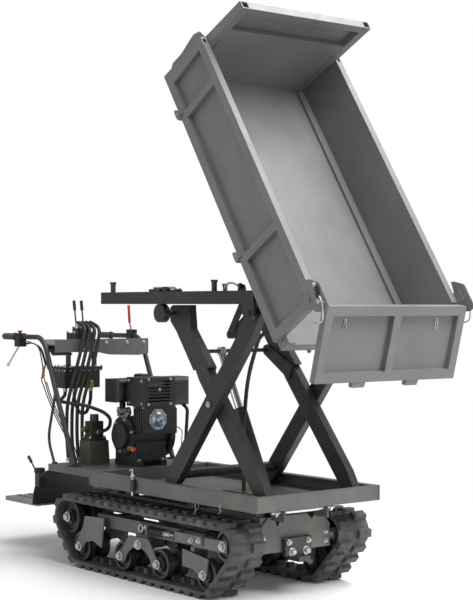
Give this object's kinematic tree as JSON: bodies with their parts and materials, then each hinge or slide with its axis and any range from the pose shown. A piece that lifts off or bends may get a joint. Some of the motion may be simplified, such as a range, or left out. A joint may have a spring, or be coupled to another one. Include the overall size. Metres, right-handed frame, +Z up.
{
  "type": "tracked power carrier",
  "caption": "Walk-behind tracked power carrier with rubber tracks, engine deck, scissor high lift and a tipping skip with drop sides and tailgate.",
  "frame": {"origin": "centre of the bounding box on the ground, under the middle of the machine's length", "axes": "+X forward towards the tailgate, +Y to the machine's left, +Z up"},
  "size_m": [2.7022, 0.837, 2.5259],
  "materials": {
    "skip_paint": "satin",
    "frame_paint": "satin",
    "dark_paint": "satin",
    "track_rubber": "matte",
    "hose_rubber": "satin",
    "zinc_steel": "satin",
    "chrome_rod": "polished",
    "engine_black": "satin",
    "black_plastic": "matte",
    "red_plastic": "gloss",
    "olive_paint": "satin"
  },
  "bodies": {
    "base": {"chassis": "frame_paint", "deck_frame": "frame_paint", "deck_plate": "frame_paint", "tow_hitch": "frame_paint", "front_shaft": "chrome_rod", "rear_guard": "dark_paint", "track_right": "track_rubber", "track_left": "track_rubber", "track_frames": "frame_paint", "gearbox": "olive_paint", "engine_block": "engine_black", "fuel_tank": "engine_black", "muffler_guard": "engine_black", "air_cleaner": "black_plastic", "valve_cover": "zinc_steel", "hydraulic_pump": "dark_paint", "hydraulic_tank": "engine_black", "console_plate": "frame_paint", "valve_block": "dark_paint", "handlebars": "dark_paint", "grips": "track_rubber", "handle_clamps": "black_plastic", "hoses": "hose_rubber", "lift_hose": "hose_rubber"},
    "step": {"step_plate": "dark_paint"},
    "bogie_right": {"bogie_right": "frame_paint"},
    "sprocket_right": {"sprocket_right": "frame_paint"},
    "idler_right": {"idler_right": "frame_paint"},
    "roller_right_1": {"roller_right_1": "frame_paint"},
    "roller_right_2": {"roller_right_2": "frame_paint"},
    "roller_right_3": {"roller_right_3": "frame_paint"},
    "roller_right_4": {"roller_right_4": "frame_paint"},
    "bogie_left": {"bogie_left": "frame_paint"},
    "sprocket_left": {"sprocket_left": "frame_paint"},
    "idler_left": {"idler_left": "frame_paint"},
    "roller_left_1": {"roller_left_1": "frame_paint"},
    "roller_left_2": {"roller_left_2": "frame_paint"},
    "roller_left_3": {"roller_left_3": "frame_paint"},
    "roller_left_4": {"roller_left_4": "frame_paint"},
    "inner_legs": {"inner_legs": "dark_paint"},
    "upper_rollers": {"upper_rollers": "zinc_steel"},
    "outer_legs": {"outer_legs": "dark_paint"},
    "lower_rollers": {"lower_rollers": "zinc_steel"},
    "upper_frame": {"upper_frame": "dark_paint", "buffers": "track_rubber"},
    "lift_rod": {"lift_rod": "chrome_rod"},
    "lift_barrel": {"lift_barrel": "dark_paint"},
    "tilt_barrel": {"tilt_barrel": "dark_paint"},
    "tilt_rod": {"tilt_rod": "chrome_rod"},
    "skip": {"skip_floor": "skip_paint", "headboard": "skip_paint"},
    "side_right": {"side_right": "skip_paint"},
    "side_left": {"side_left": "skip_paint"},
    "tailgate": {"tailgate": "skip_paint"},
    "valve_lever_1": {"valve_lever_1": "black_plastic"},
    "valve_lever_2": {"valve_lever_2": "black_plastic"},
    "stop_button": {"stop_button": "red_plastic"},
    "hand_lever": {"hand_lever": "zinc_steel"},
    "drive_lever": {"drive_lever": "red_plastic"},
    "shift_lever": {"shift_lever": "dark_paint"}
  },
  "joints": [
    {"name": "step_fold", "type": "hinge", "parent": "base", "child": "step", "pos_m": [-1.01913, 0, 0.229], "axis": [0, 1, 0], "range_deg": [0, 80]},
    {"name": "bogie_rock_right", "type": "hinge", "parent": "base", "child": "bogie_right", "pos_m": [0.05837, -0.305, 0.17], "axis": [0, 1, 0], "range_deg": [-1, 1], "stiffness_Nm_per_rad": 300},
    {"name": "sprocket_spin_right", "type": "hinge", "parent": "base", "child": "sprocket_right", "pos_m": [-0.54114, -0.305, 0.23], "axis": [0, 1, 0], "continuous": true},
    {"name": "idler_spin_right", "type": "hinge", "parent": "base", "child": "idler_right", "pos_m": [0.67887, -0.305, 0.24], "axis": [0, 1, 0], "continuous": true},
    {"name": "roller_spin_right_1", "type": "hinge", "parent": "base", "child": "roller_right_1", "pos_m": [-0.43613, -0.305, 0.1], "axis": [0, 1, 0], "continuous": true},
    {"name": "roller_spin_right_2", "type": "hinge", "parent": "bogie_right", "child": "roller_right_2", "pos_m": [-0.08914, -0.305, 0.1], "axis": [0, 1, 0], "continuous": true},
    {"name": "roller_spin_right_3", "type": "hinge", "parent": "bogie_right", "child": "roller_right_3", "pos_m": [0.20586, -0.305, 0.1], "axis": [0, 1, 0], "continuous": true},
    {"name": "roller_spin_right_4", "type": "hinge", "parent": "base", "child": "roller_right_4", "pos_m": [0.54387, -0.305, 0.1], "axis": [0, 1, 0], "continuous": true},
    {"name": "bogie_rock_left", "type": "hinge", "parent": "base", "child": "bogie_left", "pos_m": [0.05837, 0.305, 0.17], "axis": [0, 1, 0], "range_deg": [-1, 1], "stiffness_Nm_per_rad": 300},
    {"name": "sprocket_spin_left", "type": "hinge", "parent": "base", "child": "sprocket_left", "pos_m": [-0.54114, 0.305, 0.23], "axis": [0, 1, 0], "continuous": true},
    {"name": "idler_spin_left", "type": "hinge", "parent": "base", "child": "idler_left", "pos_m": [0.67887, 0.305, 0.24], "axis": [0, 1, 0], "continuous": true},
    {"name": "roller_spin_left_1", "type": "hinge", "parent": "base", "child": "roller_left_1", "pos_m": [-0.43613, 0.305, 0.1], "axis": [0, 1, 0], "continuous": true},
    {"name": "roller_spin_left_2", "type": "hinge", "parent": "bogie_left", "child": "roller_left_2", "pos_m": [-0.08914, 0.305, 0.1], "axis": [0, 1, 0], "continuous": true},
    {"name": "roller_spin_left_3", "type": "hinge", "parent": "bogie_left", "child": "roller_left_3", "pos_m": [0.20586, 0.305, 0.1], "axis": [0, 1, 0], "continuous": true},
    {"name": "roller_spin_left_4", "type": "hinge", "parent": "base", "child": "roller_left_4", "pos_m": [0.54387, 0.305, 0.1], "axis": [0, 1, 0], "continuous": true},
    {"name": "lift", "type": "hinge", "parent": "base", "child": "inner_legs", "pos_m": [0.81686, 0, 0.432], "axis": [0, 1, 0], "range_deg": [-43.2, 0], "deforming": ["lift_hose"]},
    {"name": "scissor_cross", "type": "hinge", "parent": "inner_legs", "child": "outer_legs", "pos_m": [0.4998, 0, 0.82634], "axis": [0, 1, 0], "range_deg": [0, 86.4]},
    {"name": "frame_level", "type": "hinge", "parent": "outer_legs", "child": "upper_frame", "pos_m": [0.81686, 0, 1.22069], "axis": [0, 1, 0], "range_deg": [-43.2, 0]},
    {"name": "lower_roller_spin", "type": "hinge", "parent": "outer_legs", "child": "lower_rollers", "pos_m": [0.18274, 0, 0.432], "axis": [0, 1, 0], "continuous": true},
    {"name": "upper_roller_spin", "type": "hinge", "parent": "inner_legs", "child": "upper_rollers", "pos_m": [0.18274, 0, 1.22069], "axis": [0, 1, 0], "continuous": true},
    {"name": "lift_rod_swing", "type": "hinge", "parent": "inner_legs", "child": "lift_rod", "pos_m": [0.25087, -0.05, 1.047], "axis": [0, 1, 0], "range_deg": [-6.4, 0]},
    {"name": "lift_stroke", "type": "slide", "parent": "lift_rod", "child": "lift_barrel", "axis": [-0.4528, 0, 0.8916], "range_m": [0, 0.148]},
    {"name": "tip", "type": "hinge", "parent": "upper_frame", "child": "skip", "pos_m": [0.81686, 0, 1.29749], "axis": [0, 1, 0], "range_deg": [-57.1, 0]},
    {"name": "tilt_barrel_swing", "type": "hinge", "parent": "upper_frame", "child": "tilt_barrel", "pos_m": [0.22887, 0.05, 1.122], "axis": [0, 1, 0], "range_deg": [0, 7.5]},
    {"name": "tilt_stroke", "type": "slide", "parent": "tilt_barrel", "child": "tilt_rod", "axis": [0.794, 0, 0.6079], "range_m": [-0.193, 0]},
    {"name": "side_right_drop", "type": "hinge", "parent": "skip", "child": "side_right", "pos_m": [0.60173, -0.409, 1.76811], "axis": [0.5432, 0, -0.8396], "range_deg": [0, 150]},
    {"name": "side_left_drop", "type": "hinge", "parent": "skip", "child": "side_left", "pos_m": [0.60173, 0.409, 1.76811], "axis": [0.5432, 0, -0.8396], "range_deg": [-150, 0]},
    {"name": "tailgate_swing", "type": "hinge", "parent": "skip", "child": "tailgate", "pos_m": [1.29413, 0, 1.25013], "axis": [0, 1, 0], "range_deg": [-70, 42.6]},
    {"name": "valve_lever_1_push", "type": "hinge", "parent": "base", "child": "valve_lever_1", "pos_m": [-0.86713, -0.122, 1.137], "axis": [0, 1, 0], "range_deg": [-12, 12], "stiffness_Nm_per_rad": 5},
    {"name": "valve_lever_2_push", "type": "hinge", "parent": "base", "child": "valve_lever_2", "pos_m": [-0.86713, -0.078, 1.137], "axis": [0, 1, 0], "range_deg": [-12, 12], "stiffness_Nm_per_rad": 5},
    {"name": "stop_press", "type": "slide", "parent": "base", "child": "stop_button", "axis": [0, 0, 1], "range_m": [-0.0035, 0], "stiffness_N_per_m": 500},
    {"name": "hand_lever_squeeze", "type": "hinge", "parent": "base", "child": "hand_lever", "pos_m": [-1.13413, -0.3, 1.052], "axis": [0, 1, 0], "range_deg": [0, 22], "stiffness_Nm_per_rad": 4},
    {"name": "drive_lever_swing", "type": "hinge", "parent": "base", "child": "drive_lever", "pos_m": [-0.98113, 0.3, 1.121], "axis": [0, 1, 0], "range_deg": [-15, 15]},
    {"name": "shift_lever_swing", "type": "hinge", "parent": "base", "child": "shift_lever", "pos_m": [-0.96113, -0.3, 0.41], "axis": [0, 1, 0], "range_deg": [-15, 15]}
  ],
  "couplings": [
    {"joint": "idler_spin_right", "follows": "sprocket_spin_right", "ratio": 1.194},
    {"joint": "roller_spin_right_1", "follows": "sprocket_spin_right", "ratio": 1.1429},
    {"joint": "roller_spin_right_2", "follows": "sprocket_spin_right", "ratio": 1.194},
    {"joint": "roller_spin_right_3", "follows": "sprocket_spin_right", "ratio": 1.194},
    {"joint": "roller_spin_right_4", "follows": "sprocket_spin_right", "ratio": 1.1429},
    {"joint": "idler_spin_left", "follows": "sprocket_spin_left", "ratio": 1.194},
    {"joint": "roller_spin_left_1", "follows": "sprocket_spin_left", "ratio": 1.1429},
    {"joint": "roller_spin_left_2", "follows": "sprocket_spin_left", "ratio": 1.194},
    {"joint": "roller_spin_left_3", "follows": "sprocket_spin_left", "ratio": 1.194},
    {"joint": "roller_spin_left_4", "follows": "sprocket_spin_left", "ratio": 1.1429},
    {"joint": "scissor_cross", "follows": "lift", "ratio": -2},
    {"joint": "frame_level", "follows": "lift", "ratio": 1},
    {"joint": "lift_rod_swing", "follows": "lift", "ratio": 0.146},
    {"joint": "lift_stroke", "follows": "lift", "m_per_rad": -0.195},
    {"joint": "tilt_barrel_swing", "follows": "tip", "ratio": -0.13},
    {"joint": "tilt_stroke", "follows": "tip", "m_per_rad": 0.1925}
  ]
}
